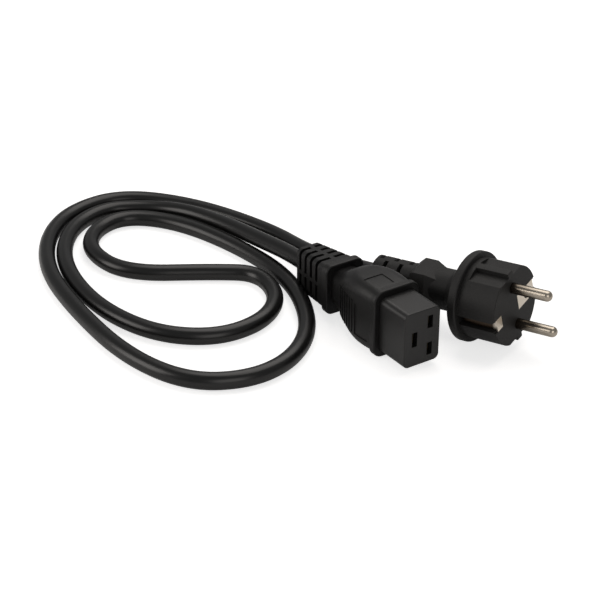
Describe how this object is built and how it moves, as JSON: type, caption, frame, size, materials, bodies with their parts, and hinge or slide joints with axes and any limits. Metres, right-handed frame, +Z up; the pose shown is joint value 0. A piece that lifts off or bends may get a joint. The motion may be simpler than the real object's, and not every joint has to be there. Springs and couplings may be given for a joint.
{
  "type": "c19 power connector",
  "caption": "Moulded C19 mains connector on a looped black three-core cord, with a round earthed two-pin plug at the other end.",
  "frame": {"origin": "middle of the connector's bounding box at its base: the connector lies on a narrow side on the surface", "axes": "+X points out of the nose that enters the inlet, +Y across the narrow width, +Z up along the wide direction of the nose"},
  "size_m": [0.2445, 0.1651, 0.0403],
  "materials": {
    "moulded_pvc": "fine moulded texture, satin",
    "insert_plastic": "satin",
    "contact_metal": "plain stamped strip",
    "nickel_plate": "nickel plated, satin",
    "bronze_strip": "stamped and bowed spring strip",
    "brown_insulation": "smooth",
    "blue_insulation": "smooth",
    "green_yellow_insulation": "smooth",
    "cord_sheath": "semi-gloss extruded"
  },
  "bodies": {
    "root": {"connector_shell": "moulded_pvc", "nose_insert": "insert_plastic", "contact_line": "contact_metal", "contact_neutral": "contact_metal", "contact_earth": "contact_metal", "core_line": "brown_insulation", "core_neutral": "blue_insulation", "core_earth": "green_yellow_insulation", "cord_tube": "cord_sheath", "plug_shell": "moulded_pvc", "plug_bridge": "insert_plastic", "pin_line": "nickel_plate", "pin_neutral": "nickel_plate", "earth_clip_far": "bronze_strip", "earth_clip_near": "bronze_strip", "earth_sleeve": "nickel_plate", "plug_core_line": "brown_insulation", "plug_core_neutral": "blue_insulation", "plug_core_earth": "green_yellow_insulation"}
  },
  "joints": []
}
